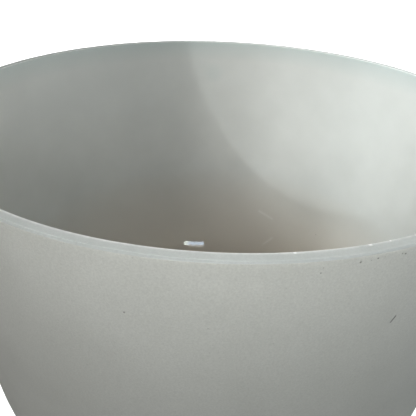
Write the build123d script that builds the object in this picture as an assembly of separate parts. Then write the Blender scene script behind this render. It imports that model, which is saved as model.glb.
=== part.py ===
"""Frosted quartz singing bowl standing on its rubber ring.

Millimetres, +Z up. The origin is the centre of the ring's foot, so the part stands on the plane z = 0.
Both pieces are bodies of revolution about Z, so each one is a half section in the XZ plane, revolved.
"""
import math
import os

from build123d import *

# Bowl: a 12 inch spun quartz shell with a ground rim
RIM_DIAMETER = 305.0
BOWL_HEIGHT = 241.0
WALL = 4.4
BASE_THICKNESS = 6.0
WALL_SWEEP = 60.0  # radius of the long wall arc, in rim radii; the wall is upright at the rim
CORNER_RADIUS = 100.0  # outer radius between the wall and the flat base
OUTER_BEVEL = 0.8  # depth of the ground bevel on the outside of the rim
INNER_BEVEL = 0.4  # depth of the fine arris on the inside of the rim
BEVEL_SLOPE = 0.7  # a bevel's width over its depth

# Ring: a rubber ring of round section, pressed a little flat where it stands
RING_OUTER_DIAMETER = 140.0
RING_SECTION = 14.0
RING_FOOT_PRESS = 0.4  # how far the foot is pressed flat by the bowl's weight
SEAT_GAP = 0.2  # running gap between the ring and the bowl

# Sizes that follow from those above
RIM_RADIUS = RIM_DIAMETER / 2
SWEEP_RADIUS = WALL_SWEEP * RIM_RADIUS
SWEEP_CENTRE_X = RIM_RADIUS - SWEEP_RADIUS
SECTION_RADIUS = RING_SECTION / 2
RING_CENTRE_RADIUS = RING_OUTER_DIAMETER / 2 - SECTION_RADIUS
RING_CENTRE_HEIGHT = SECTION_RADIUS - RING_FOOT_PRESS


def corner_centre_x(sweep_radius, corner_radius, floor_height):
    """X of the centre of the corner arc that touches both the wall arc and a flat floor."""
    between_centres = sweep_radius - corner_radius
    drop = BOWL_HEIGHT - floor_height - corner_radius
    return SWEEP_CENTRE_X + math.sqrt(between_centres**2 - drop**2)


def seat_height():
    """Height of the bowl's flat base above the ground, with its corner arc resting on the ring."""
    between_centres = CORNER_RADIUS + SEAT_GAP + SECTION_RADIUS
    across = RING_CENTRE_RADIUS - corner_centre_x(SWEEP_RADIUS, CORNER_RADIUS, 0.0)
    return RING_CENTRE_HEIGHT + math.sqrt(between_centres**2 - across**2) - CORNER_RADIUS


def skin_section(inset, floor_height, corner_radius, bevel):
    """One skin of the bowl from its axis outwards: floor line, corner arc, and wall arc up to the bevel."""
    sweep_radius = SWEEP_RADIUS - inset
    centre_x = corner_centre_x(sweep_radius, corner_radius, floor_height)
    centre_z = floor_height + corner_radius
    lean = math.asin((BOWL_HEIGHT - centre_z) / (sweep_radius - corner_radius))
    top = math.asin(bevel / sweep_radius)

    def on_corner(angle):
        return (centre_x + corner_radius * math.cos(angle), centre_z - corner_radius * math.sin(angle))

    def on_wall(angle):
        return (SWEEP_CENTRE_X + sweep_radius * math.cos(angle), BOWL_HEIGHT - sweep_radius * math.sin(angle))

    floor = Line((0.0, floor_height), (centre_x, floor_height))
    corner = ThreePointArc(floor @ 1, on_corner((lean + math.pi / 2) / 2), on_corner(lean))
    wall = ThreePointArc(corner @ 1, on_wall((lean + top) / 2), on_wall(top))
    return [floor, corner, wall]


def make_bowl():
    """The quartz shell: one closed solid with a flat ground rim, bevelled outside and inside."""
    outer = skin_section(0.0, 0.0, CORNER_RADIUS, OUTER_BEVEL)
    inner = skin_section(WALL, BASE_THICKNESS, CORNER_RADIUS - WALL, INNER_BEVEL)
    rim = Polyline(
        outer[-1] @ 1,
        (RIM_RADIUS - BEVEL_SLOPE * OUTER_BEVEL, BOWL_HEIGHT),
        (RIM_RADIUS - WALL + BEVEL_SLOPE * INNER_BEVEL, BOWL_HEIGHT),
        inner[-1] @ 1,
    )
    axis = Line((0.0, 0.0), (0.0, BASE_THICKNESS))
    section = make_face(outer + [rim] + inner + [axis])
    return Pos(0, 0, seat_height()) * revolve(Plane.XZ * section, axis=Axis.Z)


def make_ring():
    """The rubber ring: a round section revolved about Z, cut flat at the foot."""
    below_foot = Pos(0, -RING_CENTRE_HEIGHT - SECTION_RADIUS) * Rectangle(RING_SECTION, RING_SECTION)
    section = Circle(SECTION_RADIUS) - below_foot
    return revolve(Plane.XZ * Pos(RING_CENTRE_RADIUS, RING_CENTRE_HEIGHT) * section, axis=Axis.Z)


os.makedirs("parts", exist_ok=True)
for name, solid in {"bowl": make_bowl(), "rubber_ring": make_ring()}.items():
    export_step(solid, f"parts/{name}.step")
    print(name, "volume", round(solid.volume), "mm3")
print("base above the ground:", round(seat_height(), 3), "mm")
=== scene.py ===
"""Looks for the frosted quartz singing bowl: a spun shell with a ground rim, on its rubber ring.

Metres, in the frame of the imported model: +Z up, with the ground at z = 0 and the bowl's axis on Z.
The bowl is rebuilt as one closed shell, fine enough to carry the ground bevels and the chips of its rim.
"""
import math
import random

import bpy
from mathutils import Matrix, Vector, noise


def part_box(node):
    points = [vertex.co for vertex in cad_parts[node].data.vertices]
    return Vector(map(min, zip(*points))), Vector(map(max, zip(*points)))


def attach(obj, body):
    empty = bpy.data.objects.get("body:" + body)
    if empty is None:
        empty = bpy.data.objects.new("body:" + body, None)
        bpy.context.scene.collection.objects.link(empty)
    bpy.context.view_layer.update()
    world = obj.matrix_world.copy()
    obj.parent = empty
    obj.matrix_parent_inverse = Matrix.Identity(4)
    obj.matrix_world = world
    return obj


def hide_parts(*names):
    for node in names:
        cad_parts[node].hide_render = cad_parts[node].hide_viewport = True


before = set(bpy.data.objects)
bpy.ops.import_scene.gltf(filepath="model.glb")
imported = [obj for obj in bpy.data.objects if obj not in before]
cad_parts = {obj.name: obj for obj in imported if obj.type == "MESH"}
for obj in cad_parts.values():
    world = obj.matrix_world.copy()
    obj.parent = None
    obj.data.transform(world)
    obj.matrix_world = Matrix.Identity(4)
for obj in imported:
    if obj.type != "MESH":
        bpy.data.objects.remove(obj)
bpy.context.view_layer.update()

MM = 0.001

# Sizes that come from the frame
BASE_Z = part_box("bowl")[0].z
RIM_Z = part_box("bowl")[1].z
RIM_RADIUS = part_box("bowl")[1].x
RING_OUTER_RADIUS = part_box("rubber_ring")[1].x
RING_TOP_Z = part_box("rubber_ring")[1].z

# The shell's section, as the CAD part has it
WALL = 4.4 * MM
BASE_THICKNESS = 6 * MM
CORNER_RADIUS = 100 * MM
SWEEP_RADIUS = 60 * RIM_RADIUS
OUTER_BEVEL = 0.8 * MM
INNER_BEVEL = 0.4 * MM
BEVEL_SLOPE = 0.7
PAINTED_BEVEL_SHADE = 0.84  # painted shade: brightness of the outer bevel, as a part of the brightness of the rim's top

# How finely the shell is divided
BODY_SEGMENTS = 480
RIM_SEGMENTS = 3 * BODY_SEGMENTS
FINE_BAND = 2.5 * MM  # depth under the rim that has the rim's finer segments
FLOOR_ROWS, CORNER_ROWS, WALL_ROWS, EDGE_ROWS, RIM_ROWS = 7, 34, 34, 4, 8
SHARP_ANGLE = math.radians(24)  # edges sharper than this are shaded as edges

# The three finishes of the shell, in the order of its material slots
FROSTED, GROUND, POLISHED = 0, 1, 2

# Camera: just in front of the bowl and close, so that the rim runs out of both sides of the picture
CAMERA_DISTANCE = 1.7065  # from the rim's centre, in rim radii
CAMERA_ELEVATION = 17.26  # degrees above the rim's plane
CAMERA_DROP = 14.63  # degrees that it looks below the rim's centre
CAMERA_TURN = 0.98  # degrees to one side of the rim's centre
CAMERA_ROLL = 2.40  # degrees that it leans
CAMERA_LENS = 37.73  # mm, on a sensor 36 mm wide


def arc(centre, radius, start, end, count):
    """Points (r, z) of an arc from one angle below the horizontal to another, both ends included."""
    angles = [start + (end - start) * i / (count - 1) for i in range(count)]
    return [(centre[0] + radius * math.cos(a), centre[1] - radius * math.sin(a)) for a in angles]


def skin(inset, floor_z, corner_radius, bevel):
    """Points of one skin of the shell, from beside its axis outwards and up to the rim's bevel."""
    sweep = SWEEP_RADIUS - inset
    sweep_x = RIM_RADIUS - SWEEP_RADIUS
    corner_z = floor_z + corner_radius
    drop = RIM_Z - corner_z
    corner_x = sweep_x + math.sqrt((sweep - corner_radius) ** 2 - drop**2)
    lean = math.asin(drop / (sweep - corner_radius))
    floor = [(corner_x * i / FLOOR_ROWS, floor_z) for i in range(1, FLOOR_ROWS)]
    corner = arc((corner_x, corner_z), corner_radius, math.pi / 2, lean, CORNER_ROWS)
    fine = math.asin(FINE_BAND / sweep)
    wall = arc((sweep_x, RIM_Z), sweep, lean, fine, WALL_ROWS)[1:]
    edge = arc((sweep_x, RIM_Z), sweep, fine, math.asin(bevel / sweep), EDGE_ROWS)[1:]
    return floor + corner + wall, edge


def shell_rows():
    """The shell's section, from the base over the rim and inside: (r, z, finish, segments, place)."""
    outside, outer_edge = skin(0.0, BASE_Z, CORNER_RADIUS, OUTER_BEVEL)
    inside, inner_edge = skin(WALL, BASE_Z + BASE_THICKNESS, CORNER_RADIUS - WALL, INNER_BEVEL)
    top_out = RIM_RADIUS - BEVEL_SLOPE * OUTER_BEVEL
    top_in = RIM_RADIUS - WALL + BEVEL_SLOPE * INNER_BEVEL
    rows = [(r, z, FROSTED, BODY_SEGMENTS, "outside") for r, z in outside]
    rows += [(r, z, FROSTED, RIM_SEGMENTS, "outer_edge") for r, z in outer_edge]
    bevel_r, bevel_z = outer_edge[-1]
    for t in (0.33, 0.67):
        r, z = bevel_r + (top_out - bevel_r) * t, bevel_z + (RIM_Z - bevel_z) * t
        rows.append((r, z, GROUND, RIM_SEGMENTS, "outer_bevel"))
    for i in range(RIM_ROWS + 1):
        r = top_out + (top_in - top_out) * i / RIM_ROWS
        rows.append((r, RIM_Z, GROUND, RIM_SEGMENTS, "top"))
    bevel_r, bevel_z = inner_edge[-1]
    r, z = (bevel_r + top_in) / 2, (bevel_z + RIM_Z) / 2
    rows.append((r, z, GROUND, RIM_SEGMENTS, "inner_bevel"))
    rows += [(r, z, POLISHED, RIM_SEGMENTS, "inner_edge") for r, z in reversed(inner_edge)]
    rows += [(r, z, POLISHED, BODY_SEGMENTS, "inside") for r, z in reversed(inside)]
    return rows


# Chips along the fine inner arris of the rim: azimuth in degrees, half width and depth in mm
NAMED_CHIPS = [(-80.8, 0.8, 0.22), (-71.5, 1.0, 0.28), (-68.7, 0.55, 0.25)]
SMALL_CHIPS = 34
CHIP_SEED = 7

# How uneven each part of the shell is: height of a wave in metres, and waves to the metre
OUTSIDE_WAVES = ((0.10 * MM, 34), (0.05 * MM, 110))
INSIDE_WAVES = ((0.16 * MM, 21), (0.03 * MM, 75))
BEVEL_WANDER = 0.10 * MM, 0.12 * MM  # of the outer bevel's edge, in radius and in height


def rim_chips():
    """The named chips and a scatter of smaller ones."""
    rng = random.Random(CHIP_SEED)
    chips = list(NAMED_CHIPS)
    for _ in range(SMALL_CHIPS):
        chips.append((rng.uniform(-180, 180), rng.uniform(0.45, 1.1), rng.uniform(0.06, 0.22)))
    return chips


def chip_depth(azimuth, chips):
    """How deep the arris is chipped at an azimuth, in metres."""
    deepest = 0.0
    for centre, half_width, depth in chips:
        away = abs((azimuth - centre + 180) % 360 - 180)
        across = math.radians(away) * (RIM_RADIUS - WALL) / (half_width * MM)
        if across < 1:
            deepest = max(deepest, depth * MM * (1 - across**2))
    return deepest


def wander(azimuth, pitch, seed):
    """A smooth random value from about -1 to 1 that varies around the rim and closes on itself."""
    a = math.radians(azimuth)
    return noise.noise(Vector((math.cos(a) * pitch, math.sin(a) * pitch, seed)))


def shell_point(r, z, place, azimuth, chips):
    """One point of the shell with its small departures from the ideal section."""
    a = math.radians(azimuth)
    p = Vector((r * math.cos(a), r * math.sin(a), z))
    if place in ("outside", "outer_edge"):
        (long, long_pitch), (short, short_pitch) = OUTSIDE_WAVES
        r += long * noise.noise(p * long_pitch) + short * noise.noise(p * short_pitch)
    elif place in ("inside", "inner_edge"):
        (long, long_pitch), (short, short_pitch) = INSIDE_WAVES
        r += long * noise.noise(p * long_pitch + Vector((5, 0, 0))) + short * noise.noise(p * short_pitch)
    elif place == "outer_bevel":
        r += BEVEL_WANDER[0] * wander(azimuth, 6, 1.5)
        z += BEVEL_WANDER[1] * wander(azimuth, 11, 4.5)
    elif place == "inner_bevel":
        r += 0.6 * chip_depth(azimuth, chips)
        z -= 0.8 * chip_depth(azimuth, chips)
    if place == "inner_edge" and z > RIM_Z - 1.2 * INNER_BEVEL:
        r += 0.9 * chip_depth(azimuth, chips)
    return (r * math.cos(a), r * math.sin(a), z)


def stitch(faces, finishes, lower, upper, finish):
    """Faces between two rings of points, which have as many points each, or one three times as many."""
    (a, count_a), (b, count_b) = lower, upper
    if count_a == count_b:
        for i in range(count_a):
            j = (i + 1) % count_a
            faces.append((a + i, a + j, b + j, b + i))
            finishes.append(finish)
        return
    coarse, fine, flip = (a, b, False) if count_a < count_b else (b, a, True)
    count = min(count_a, count_b)
    for i in range(count):
        c0, c1 = coarse + i, coarse + (i + 1) % count
        f = [fine + (3 * i + k) % (3 * count) for k in range(4)]
        for face in ((c0, f[1], f[0]), (c0, c1, f[2], f[1]), (c1, f[3], f[2])):
            faces.append(face[::-1] if flip else face)
            finishes.append(finish)


def make_shell(materials):
    """The bowl as one closed mesh."""
    chips = rim_chips()
    points = [(0.0, 0.0, BASE_Z)]
    rings = []
    rows = shell_rows()
    for r, z, finish, segments, place in rows:
        rings.append((len(points), segments))
        points += [shell_point(r, z, place, 360 * i / segments, chips) for i in range(segments)]
    points.append((0.0, 0.0, BASE_Z + BASE_THICKNESS))
    faces, finishes = [], []
    first, last = rings[0], rings[-1]
    for i in range(BODY_SEGMENTS):
        j = (i + 1) % BODY_SEGMENTS
        faces.append((0, first[0] + j, first[0] + i))
        finishes.append(FROSTED)
        faces.append((len(points) - 1, last[0] + i, last[0] + j))
        finishes.append(POLISHED)
    for k in range(len(rings) - 1):
        finish = max(rows[k][2], rows[k + 1][2]) if rows[k][4] != "inner_bevel" else GROUND
        stitch(faces, finishes, rings[k], rings[k + 1], finish)
    mesh = bpy.data.meshes.new("quartz_shell")
    mesh.from_pydata(points, [], faces)
    for material in materials:
        mesh.materials.append(material)
    mesh.polygons.foreach_set("material_index", finishes)
    mesh.polygons.foreach_set("use_smooth", [True] * len(faces))
    mesh.set_sharp_from_angle(angle=SHARP_ANGLE)
    mesh.validate()
    shell = bpy.data.objects.new("quartz_shell", mesh)
    bpy.context.scene.collection.objects.link(shell)
    return shell


# The rubber ring
RING_SECTION = 14 * MM
SEAM_WIDTH = 0.5 * MM  # the fine seam that the two halves of the mould leave, outside and inside
SEAM_HEIGHT = 0.25 * MM
RING_SEGMENTS, RING_ARC_POINTS = 240, 24


def ring_section():
    """The ring's section as points (r, z): round, with its mould seam, and pressed flat where it stands."""
    half = RING_SECTION / 2
    lip = SEAM_WIDTH / RING_SECTION
    upper = [lip + (math.pi - 2 * lip) * i / RING_ARC_POINTS for i in range(RING_ARC_POINTS + 1)]
    section = [(0.0, half + SEAM_HEIGHT)] + [(a, half) for a in upper]
    section += [(math.pi, half + SEAM_HEIGHT)] + [(a + math.pi, half) for a in upper]
    middle_r, middle_z = RING_OUTER_RADIUS - half, RING_TOP_Z - half
    return [
        (middle_r + reach * math.cos(a), max(0.0, middle_z + reach * math.sin(a)))
        for a, reach in section
    ]


def make_ring(material):
    """The rubber ring as one closed mesh."""
    section = ring_section()
    count = len(section)
    points, faces = [], []
    for i in range(RING_SEGMENTS):
        a = 2 * math.pi * i / RING_SEGMENTS
        points += [(r * math.cos(a), r * math.sin(a), z) for r, z in section]
        j = (i + 1) % RING_SEGMENTS
        for k in range(count):
            m = (k + 1) % count
            faces.append((i * count + k, j * count + k, j * count + m, i * count + m))
    mesh = bpy.data.meshes.new("moulded_ring")
    mesh.from_pydata(points, [], faces)
    mesh.materials.append(material)
    mesh.polygons.foreach_set("use_smooth", [True] * len(faces))
    mesh.set_sharp_from_angle(angle=SHARP_ANGLE)
    ring = bpy.data.objects.new("moulded_ring", mesh)
    bpy.context.scene.collection.objects.link(ring)
    return ring


def node(tree, kind, inputs=None, **settings):
    """Adds a node, sets its properties, and sets or links its inputs by name or number."""
    made = tree.nodes.new(kind)
    for name, value in settings.items():
        setattr(made, name, value)
    for name, value in (inputs or {}).items():
        socket = made.inputs[name]
        if isinstance(value, bpy.types.NodeSocket):
            tree.links.new(value, socket)
        else:
            socket.default_value = value
    return made


def grain(tree, place, scale, detail=2.0, roughness=0.5):
    """A noise of a given number of features to the metre."""
    inputs = {"Vector": place, "Scale": scale, "Detail": detail, "Roughness": roughness}
    return node(tree, "ShaderNodeTexNoise", inputs).outputs["Fac"]


def spread(tree, value, low, high, to_low=0.0, to_high=1.0):
    """Maps the stretch from low to high of a value onto another stretch, and holds it at the ends."""
    inputs = {"Value": value, "From Min": low, "From Max": high, "To Min": to_low, "To Max": to_high}
    return node(tree, "ShaderNodeMapRange", inputs).outputs["Result"]


def times(tree, a, b):
    """The product of two values."""
    return node(tree, "ShaderNodeMath", {0: a, 1: b}, operation="MULTIPLY").outputs[0]


def plus(tree, a, b):
    """The sum of two values."""
    return node(tree, "ShaderNodeMath", {0: a, 1: b}, operation="ADD").outputs[0]


def blend(tree, factor, a, b, mode="MIX"):
    """Mixes two colours. The colour sockets of a Mix node are its inputs 6 and 7 and its output 2."""
    inputs = {0: factor, 6: a, 7: b}
    return node(tree, "ShaderNodeMix", inputs, data_type="RGBA", blend_type=mode).outputs[2]


def darker(tree, colour, level):
    """A colour made darker."""
    return blend(tree, 1.0, colour, grey(level), "MULTIPLY")


def bump(tree, height, depth, below=None):
    """Raises the surface by a height from 0 to 1 of a depth in metres, over the bumps below it."""
    made = node(tree, "ShaderNodeBump", {"Height": height, "Distance": depth, "Strength": 1.0})
    if below is not None:
        tree.links.new(below, made.inputs["Normal"])
    return made.outputs["Normal"]


def on_wall(azimuth, depth, radius=None):
    """The point of the wall at an azimuth in degrees and a depth in mm below the rim."""
    r = RIM_RADIUS if radius is None else radius
    a = math.radians(azimuth)
    return Vector((r * math.cos(a), r * math.sin(a), RIM_Z - depth * MM))


def deeper(tree, place, top, bottom):
    """0 at one depth in mm below the rim, rising to 1 at another."""
    height = node(tree, "ShaderNodeSeparateXYZ", {0: place}).outputs[2]
    return spread(tree, height, RIM_Z - bottom * MM, RIM_Z - top * MM, 1.0, 0.0)


def spot(tree, place, centre, size):
    """1 at the middle of a small mark on the surface, falling to 0 at its edge."""
    away = node(tree, "ShaderNodeVectorMath", {0: place, 1: centre}, operation="DISTANCE").outputs["Value"]
    return spread(tree, away, 0.35 * size, size, 1.0, 0.0)


def streak(tree, place, start, end, width):
    """1 along the line between two points of the surface, falling to 0 at a distance from it."""
    along = end - start
    per_length = along / along.length_squared
    reach = node(tree, "ShaderNodeVectorMath", {0: place, 1: start}, operation="SUBTRACT").outputs["Vector"]
    step = node(tree, "ShaderNodeVectorMath", {0: reach, 1: per_length}, operation="DOT_PRODUCT")
    part = spread(tree, step.outputs["Value"], 0.0, 1.0)
    foot = node(tree, "ShaderNodeVectorMath", {0: along, "Scale": part}, operation="SCALE")
    ends = {0: reach, 1: foot.outputs["Vector"]}
    away = node(tree, "ShaderNodeVectorMath", ends, operation="DISTANCE").outputs["Value"]
    return spread(tree, away, 0.3 * width, width, 1.0, 0.0)


def strongest(tree, marks):
    """The highest of several marks."""
    top = marks[0]
    for mark in marks[1:]:
        top = node(tree, "ShaderNodeMath", {0: top, 1: mark}, operation="MAXIMUM").outputs[0]
    return top


def new_material(name, **sockets):
    """A material with one Principled shader, and values for its sockets that are the same all over."""
    material = bpy.data.materials.new(name)
    material.use_nodes = True
    tree = material.node_tree
    shader = tree.nodes["Principled BSDF"]
    for socket, value in sockets.items():
        shader.inputs[socket.replace("_", " ")].default_value = value
    place = node(tree, "ShaderNodeTexCoord").outputs["Object"]
    return material, tree, shader, place


def grey(level, green=0.0, blue=0.0):
    """A grey with a little more or less green and blue."""
    return (level, level * (1 + green), level * (1 + blue), 1.0)


QUARTZ_IOR = 1.46
GLOW_DEPTH = 4 * MM  # how far light spreads inside the milky quartz


def milky(shader):
    """Lets light spread inside the quartz, as it does in a milky glass."""
    shader.inputs["IOR"].default_value = QUARTZ_IOR
    shader.inputs["Subsurface Weight"].default_value = 0.6
    shader.inputs["Subsurface Radius"].default_value = (1.0, 1.0, 1.0)
    shader.inputs["Subsurface Scale"].default_value = GLOW_DEPTH


# Pits on the outside: azimuth in degrees, depth below the rim and radius in mm
PITS = [
    (-100.3, 24.3, 0.42),
    (-73.4, 2.9, 0.42),
    (-72.0, 2.8, 0.20),
    (-71.2, 2.5, 0.34),
    (-70.3, 2.4, 0.20),
    (-67.9, 2.6, 0.28),
    (-67.4, 2.9, 0.42),
    (-90.2, 27.1, 0.24),
    (-78.0, 5.2, 0.26),
    (-77.8, 3.3, 0.20),
]
SCRATCH = ((-65.93, 33.7), (-65.42, 31.2))  # its ends: azimuth and depth
SCRATCH_WIDTH = 0.45  # mm

# Marks on the inside: azimuth in degrees, then depth, the wall's radius there and their size in mm
INNER_SPECK = (46.1, 166.5, 143.6, 0.9)
# A painted shadow: a soft dark green blob on the inner wall near the rim
PAINTED_SHADOW_BLOB = (92.6, 26.6, 148.0, 10.0)
# Smears that also carry painted reflection: faint lighter streaks on the inside
SMEARS_AND_REFLECTIONS = [((71.4, 163.5, 144.4), (65.6, 168.0, 143.2)), ((63.6, 186.0, 135.5), (66.8, 194.0, 131.0))]
SMEAR_AND_REFLECTION_WIDTH = 2.6
PAINTED_DEEP_SHADE = (0.58, 0.525, 0.45, 1.0)  # painted shade: the inside slightly browner and darker towards the bottom
PAINTED_DEEP_SHADE_DEPTHS = (120, 205)  # mm below the rim between which it comes in
PAINTED_LOWER_SHADE = 0.80  # painted shade: brightness of the outside further down, as a part of its brightness at the rim
PAINTED_LOWER_SHADE_DEPTHS = (10, 90)
RIM_AND_SHADOW_GREEN = (0.50, 0.545, 0.530, 1.0)  # the green of the glass near the rim, also the colour of the painted shadow blob


def frosted_quartz():
    """The sandy matte skin outside: cloudy, with a fine grain, dark specks, pits and one scratch, and
    painted shade that darkens it further down.
    """
    material, tree, shader, place = new_material("frosted_quartz_outside")
    milky(shader)
    clouds = grain(tree, place, 22, 3, 0.55)
    sand = grain(tree, place, 1400, 2.5, 0.7)
    darkest, lightest = grey(0.57, 0.012, -0.05), grey(0.61, 0.012, -0.045)
    colour = blend(tree, spread(tree, clouds, 0.32, 0.68), darkest, lightest)
    colour = blend(tree, 1.0, colour, spread(tree, sand, 0.25, 0.75, 0.885, 1.08), "MULTIPLY")
    # Painted shade: the outside is darkened further down.
    lower = deeper(tree, place, *PAINTED_LOWER_SHADE_DEPTHS)
    colour = blend(tree, lower, colour, darker(tree, colour, PAINTED_LOWER_SHADE))
    specks = node(tree, "ShaderNodeTexVoronoi", {"Vector": place, "Scale": 420, "Randomness": 1.0})
    dots = spread(tree, specks.outputs["Distance"], 0.05, 0.16, 1.0, 0.0)
    sparse = spread(tree, grain(tree, place, 160, 1), 0.56, 0.66)
    colour = blend(tree, times(tree, times(tree, dots, sparse), 0.35), colour, grey(0.30, 0.0, -0.06))
    pits = [spot(tree, place, on_wall(azimuth, depth), size * MM) for azimuth, depth, size in PITS]
    start, end = SCRATCH
    scratch = streak(tree, place, on_wall(*start), on_wall(*end), SCRATCH_WIDTH * MM)
    marks = strongest(tree, pits + [scratch])
    colour = blend(tree, times(tree, marks, 0.8), colour, grey(0.16, 0.0, -0.08))
    tree.links.new(colour, shader.inputs["Base Color"])
    tree.links.new(spread(tree, sand, 0.3, 0.7, 0.58, 0.76), shader.inputs["Roughness"])
    normal = bump(tree, clouds, 0.2 * MM)
    normal = bump(tree, sand, 0.09 * MM, normal)
    normal = bump(tree, spread(tree, marks, 0.0, 1.0, 1.0, 0.0), 0.3 * MM, normal)
    tree.links.new(normal, shader.inputs["Normal"])
    return material


def ground_rim():
    """The ground rim: slightly green, with fine marks around it, painted shade on its outer bevel, and a
    painted highlight with painted glints along its chipped inner arris.
    """
    material, tree, shader, place = new_material("ground_rim")
    milky(shader)
    split = node(tree, "ShaderNodeSeparateXYZ", {0: place})
    flat = node(tree, "ShaderNodeCombineXYZ", {0: split.outputs[0], 1: split.outputs[1]}).outputs[0]
    radius = node(tree, "ShaderNodeVectorMath", {0: flat}, operation="LENGTH").outputs["Value"]
    y_and_x = {0: split.outputs[1], 1: split.outputs[0]}
    angle = node(tree, "ShaderNodeMath", y_and_x, operation="ARCTAN2").outputs[0]
    turned = {0: times(tree, radius, 40.0), 1: times(tree, angle, 0.35), 2: split.outputs[2]}
    lines = grain(tree, node(tree, "ShaderNodeCombineXYZ", turned).outputs[0], 90, 3, 0.6)
    sand = grain(tree, place, 1300, 2, 0.6)
    patches = grain(tree, place, 60, 2)
    darkest, lightest = grey(0.49, 0.055, 0.025), grey(0.53, 0.050, 0.025)
    colour = blend(tree, spread(tree, patches, 0.3, 0.7), darkest, lightest)
    colour = blend(tree, 1.0, colour, spread(tree, sand, 0.25, 0.75, 0.94, 1.05), "MULTIPLY")
    # Painted shade: the outer bevel is darker than the rim's top.
    bevel_start = RIM_RADIUS - BEVEL_SLOPE * OUTER_BEVEL
    bevel = spread(tree, radius, bevel_start - 0.15 * MM, bevel_start + 0.15 * MM)
    colour = blend(tree, bevel, colour, darker(tree, colour, PAINTED_BEVEL_SHADE))
    inner = RIM_RADIUS - WALL
    # Painted highlight: a bright line along the inner arris, broken in places.
    arris = spread(tree, radius, inner + 0.5 * MM, inner + 1.4 * MM, 1.0, 0.0)
    highlight_breaks = spread(tree, grain(tree, place, 350, 2), 0.35, 0.65, 0.35, 1.0)
    colour = blend(tree, times(tree, arris, highlight_breaks), colour, grey(0.68, 0.02, 0.0))
    # Painted glints: bright spots at the named chips.
    chips = [
        spot(tree, place, on_wall(azimuth, 0, inner + 0.5 * MM), 0.85 * half_width * MM)
        for azimuth, half_width, _ in NAMED_CHIPS
    ]
    chipped = strongest(tree, chips)
    colour = blend(tree, chipped, colour, grey(0.95))
    tree.links.new(colour, shader.inputs["Base Color"])
    tree.links.new(spread(tree, plus(tree, sand, lines), 0.6, 1.4, 0.34, 0.52), shader.inputs["Roughness"])
    normal = bump(tree, lines, 0.02 * MM)
    normal = bump(tree, sand, 0.02 * MM, normal)
    tree.links.new(normal, shader.inputs["Normal"])
    return material


def polished_quartz():
    """The polished inside: smooth and glossy over a milky body, with soft ripples and cloudy patches,
    smears with painted reflection, a painted shadow near the rim and painted shade towards the bottom.
    """
    material, tree, shader, place = new_material("polished_quartz_inside")
    milky(shader)
    clouds = grain(tree, place, 30, 3, 0.5)
    ripples = grain(tree, place, 55, 1, 0.4)
    darkest, lightest = grey(0.565, 0.020, -0.015), grey(0.605, 0.018, -0.015)
    colour = blend(tree, spread(tree, clouds, 0.3, 0.7), darkest, lightest)
    colour = blend(tree, deeper(tree, place, 1, 15), RIM_AND_SHADOW_GREEN, colour)
    # Painted shade: browner and darker towards the bottom.
    colour = blend(tree, deeper(tree, place, *PAINTED_DEEP_SHADE_DEPTHS), colour, PAINTED_DEEP_SHADE)
    # Painted shadow: a soft dark green blob near the rim.
    azimuth, depth, radius, size = PAINTED_SHADOW_BLOB
    shadow_blob = spot(tree, place, on_wall(azimuth, depth, radius * MM), size * MM)
    colour = blend(tree, times(tree, shadow_blob, 0.35), colour, RIM_AND_SHADOW_GREEN)
    azimuth, depth, radius, size = INNER_SPECK
    speck = spot(tree, place, on_wall(azimuth, depth, radius * MM), size * MM)
    colour = blend(tree, times(tree, speck, 0.75), colour, grey(0.2, 0.0, -0.05))
    smear_reflections = []
    for (azimuth, depth, radius), (to_azimuth, to_depth, to_radius) in SMEARS_AND_REFLECTIONS:
        start, end = on_wall(azimuth, depth, radius * MM), on_wall(to_azimuth, to_depth, to_radius * MM)
        smear_reflections.append(streak(tree, place, start, end, SMEAR_AND_REFLECTION_WIDTH * MM))
    smear_reflection = strongest(tree, smear_reflections)
    # Painted reflection: the smear streaks are drawn lighter; their added roughness is the smears
    # themselves.
    colour = blend(tree, times(tree, smear_reflection, 0.11), colour, grey(0.8))
    tree.links.new(colour, shader.inputs["Base Color"])
    roughness = plus(tree, spread(tree, clouds, 0.3, 0.7, 0.03, 0.06), times(tree, smear_reflection, 0.25))
    tree.links.new(roughness, shader.inputs["Roughness"])
    normal = bump(tree, ripples, 0.06 * MM)
    tree.links.new(normal, shader.inputs["Normal"])
    return material


def ring_rubber():
    """Matt black rubber with a bloom and a fine moulded grain."""
    material, tree, shader, place = new_material("ring_rubber", Sheen_Weight=0.3, Sheen_Roughness=0.5)
    bloom = grain(tree, place, 70, 3, 0.6)
    pores = grain(tree, place, 1600, 2, 0.6)
    colour = blend(tree, spread(tree, bloom, 0.35, 0.75), grey(0.030, 0.0, 0.02), grey(0.060, 0.0, 0.03))
    tree.links.new(colour, shader.inputs["Base Color"])
    tree.links.new(spread(tree, bloom, 0.3, 0.7, 0.55, 0.72), shader.inputs["Roughness"])
    tree.links.new(bump(tree, pores, 0.04 * MM), shader.inputs["Normal"])
    return material


FLOOR_HALF = 6.0  # half of its side, in metres
FLOOR_GLOW = 0.35  # strength of the light that it gives off itself


def floor_material():
    """A plain white studio floor with a very faint mottle and a glow of its own, like a lit sweep."""
    material, tree, shader, place = new_material("pale_floor", Roughness=0.85, Emission_Strength=FLOOR_GLOW)
    mottle = grain(tree, place, 9, 2)
    tree.links.new(blend(tree, mottle, grey(0.90), grey(0.93)), shader.inputs["Base Color"])
    shader.inputs["Emission Color"].default_value = grey(1.0)
    return material


def make_floor():
    """The pale floor under the part."""
    mesh = bpy.data.meshes.new("floor")
    h = FLOOR_HALF
    mesh.from_pydata([(-h, -h, 0), (h, -h, 0), (h, h, 0), (-h, h, 0)], [], [(0, 1, 2, 3)])
    mesh.materials.append(floor_material())
    floor = bpy.data.objects.new("floor", mesh)
    bpy.context.scene.collection.objects.link(floor)
    floor.visible_diffuse = floor.visible_glossy = False
    return floor


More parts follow.
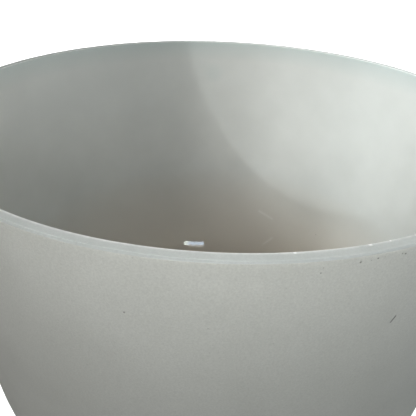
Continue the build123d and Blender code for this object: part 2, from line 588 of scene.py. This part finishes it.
def add_camera():
    """A close camera in front of the bowl, a little above its rim."""
    up = math.radians(CAMERA_ELEVATION)
    distance = CAMERA_DISTANCE * RIM_RADIUS
    data = bpy.data.cameras.new("camera")
    data.sensor_width = 36.0
    data.lens = CAMERA_LENS
    camera = bpy.data.objects.new("camera", data)
    bpy.context.scene.collection.objects.link(camera)
    place = Vector((0, -distance * math.cos(up), RIM_Z + distance * math.sin(up)))
    aim = Matrix.Rotation(math.pi / 2 - up, 4, "X")
    aim = aim @ Matrix.Rotation(math.radians(CAMERA_TURN), 4, "Y")
    aim = aim @ Matrix.Rotation(-math.radians(CAMERA_DROP), 4, "X")
    aim = aim @ Matrix.Rotation(math.radians(CAMERA_ROLL), 4, "Z")
    camera.matrix_world = Matrix.Translation(place) @ aim
    bpy.context.scene.camera = camera


def toward(azimuth, elevation, distance, centre):
    """The point at a direction in degrees and a distance from a centre."""
    a, e = math.radians(azimuth), math.radians(elevation)
    return centre + distance * Vector((math.cos(e) * math.cos(a), math.cos(e) * math.sin(a), math.sin(e)))


def add_light(name, kind, place, target, power, colour=(1, 1, 1), **settings):
    """A light that points at a target."""
    data = bpy.data.lights.new(name, kind)
    data.energy = power
    data.color = colour
    for key, value in settings.items():
        setattr(data, key, value)
    light = bpy.data.objects.new(name, data)
    light.location = place
    light.rotation_euler = (Vector(target) - Vector(place)).to_track_quat("-Z", "Y").to_euler()
    bpy.context.scene.collection.objects.link(light)
    return light


def hide(light):
    """Keeps a light out of the camera's view and out of reflections."""
    light.visible_camera = light.visible_glossy = False


def only_on(light, thing):
    """Makes a light fall on one object alone."""
    group = bpy.data.collections.new(light.name + "_falls_on")
    group.objects.link(thing)
    light.light_linking.receiver_collection = group


# Soft panels: azimuth and elevation in degrees and distance in metres, all from the rim's centre,
# then width and height in metres and watts
PANELS = {
    "near_front": (-90, 23, 0.255, 0.12, 0.05, 0.105),
    "front": (-90, 30, 2.6, 1.8, 1.2, 15.7),
    "low_left": (-150, 5, 1.5, 0.8, 0.8, 4.7),
    "low_right": (-50, 0, 1.5, 0.8, 0.8, 4.6),
    "left": (-170, 45, 2.0, 1.0, 1.0, 10.6),
    "right": (-10, 25, 2.0, 1.0, 1.0, 5.1),
    "back": (90, 12, 2.0, 3.0, 0.8, 36),
    "back_right": (35, 12, 2.0, 1.5, 0.8, 8),
}

# Pools of light on the bowl's inner wall: azimuth, elevation and distance from the rim's centre,
# azimuth and depth in mm of their middle on the wall, cone in degrees, how soft its edge is, watts
POOLS = {
    "pool_edge": (-110, 32, 1.22, 44.6, -35.7, 13.0, 0.03, 9.6),
    "pool_deep": (-110, 37, 1.22, 55, 150, 12, 1.0, 2.5),
    "pool_back": (-110, 55, 1.22, 75, 60, 6.5, 1.0, 13.9),
    "pool_back_wide": (-100, 55, 1.22, 75, 60, 9, 1.0, 12.9),
    "pool_right": (-110, 45, 1.22, 30, 40, 12, 1.0, 37.3),
    "pool_far_right": (-140, 43, 1.22, 5, 40, 12, 1.0, 46),
}
POOL_SOURCE = 3 * MM  # the lamp's radius
WARM = (1.0, 0.99, 0.965)
COOL = (0.95, 1.0, 1.0)
COOL_PANELS = ("right", "low_right")

# The window that the polished inside mirrors: azimuth and elevation in degrees and distance in metres,
# all from the place that mirrors it
WINDOW = (-74.4, 41.1, 2.0)
WINDOW_TILT = -11  # degrees
# Its panes: across and up from its middle, both as they lie in the lamp's own plane, which the mirror
# image shows turned over; then width and height in metres, colour and watts
PANES = {
    "window_blue": (-0.02, -0.02, 0.32, 0.13, (0.62, 0.78, 1.0), 1.6),
    "window_white": (0.17, -0.02, 0.06, 0.17, (0.9, 1.0, 0.95), 0.6),
    "window_sill": (-0.03, 0.08, 0.34, 0.06, (1.0, 0.97, 0.92), 0.4),
}
MIRROR_SPOT = Vector((-0.018, 0.125, RIM_Z - 0.2))  # the place inside the bowl that mirrors it

# The wash of light that whitens the floor
FLOOR_WASH_POWER = 2000
FLOOR_WASH_SIZE = 24.0
FLOOR_WASH_HEIGHT = 5.0


def add_panels(rim):
    """Soft panels around the bowl. The nearest one points at the outside just under the rim."""
    for name, (azimuth, elevation, distance, width, height, power) in PANELS.items():
        place = toward(azimuth, elevation, distance, rim)
        target = on_wall(-90, 20) if name == "near_front" else rim
        colour = COOL if name in COOL_PANELS else WARM
        panel = add_light(
            name, "AREA", place, target, power, colour, shape="RECTANGLE", size=width, size_y=height
        )
        hide(panel)


def add_pools(rim):
    """Pools of light on the bowl's inner wall."""
    for name, (azimuth, elevation, distance, on_azimuth, depth, cone, softness, power) in POOLS.items():
        place = toward(azimuth, elevation, distance, rim)
        target = on_wall(on_azimuth, depth)
        colour = WARM if name.startswith("pool_back") else COOL
        pool = add_light(name, "SPOT", place, target, power, colour, shadow_soft_size=POOL_SOURCE)
        pool.data.spot_size = math.radians(cone)
        pool.data.spot_blend = softness
        hide(pool)


def add_window():
    """A window of three panes for the polished inside to mirror."""
    middle = toward(*WINDOW, MIRROR_SPOT)
    for name, (across, up, width, height, colour, power) in PANES.items():
        pane = add_light(
            name, "AREA", middle, MIRROR_SPOT, power, colour, shape="RECTANGLE", size=width, size_y=height
        )
        pane.rotation_euler.rotate_axis("Z", math.radians(WINDOW_TILT))
        pane.location = middle + pane.rotation_euler.to_matrix() @ Vector((across, up, 0))


def add_floor_wash(floor):
    """A wide soft light from above that falls on the floor alone."""
    above = (0, 0, FLOOR_WASH_HEIGHT)
    wash = add_light("floor_wash", "AREA", above, (0, 0, 0), FLOOR_WASH_POWER, size=FLOOR_WASH_SIZE)
    hide(wash)
    only_on(wash, floor)


def add_lights(floor):
    """All the lights. The light tree is off: it brightens a scene that has a light for one object alone."""
    rim = Vector((0, 0, RIM_Z))
    add_panels(rim)
    add_pools(rim)
    add_window()
    add_floor_wash(floor)
    bpy.context.scene.cycles.use_light_tree = False


def add_backdrop():
    """A pale surround that only the camera sees."""
    world = bpy.data.worlds.new("studio")
    world.use_nodes = True
    background = world.node_tree.nodes["Background"]
    background.inputs["Color"].default_value = (1.0, 1.0, 1.0, 1.0)
    background.inputs["Strength"].default_value = 1.0
    bpy.context.scene.world = world
    world.cycles_visibility.diffuse = False
    world.cycles_visibility.glossy = False
    world.cycles_visibility.transmission = False


shell = make_shell([frosted_quartz(), ground_rim(), polished_quartz()])
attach(shell, "bowl")
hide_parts("bowl")

ring = make_ring(ring_rubber())
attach(ring, "ring")
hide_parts("rubber_ring")

floor = make_floor()
add_camera()
add_lights(floor)
add_backdrop()
bpy.context.scene.view_settings.view_transform = "Standard"

bpy.context.view_layer.update()
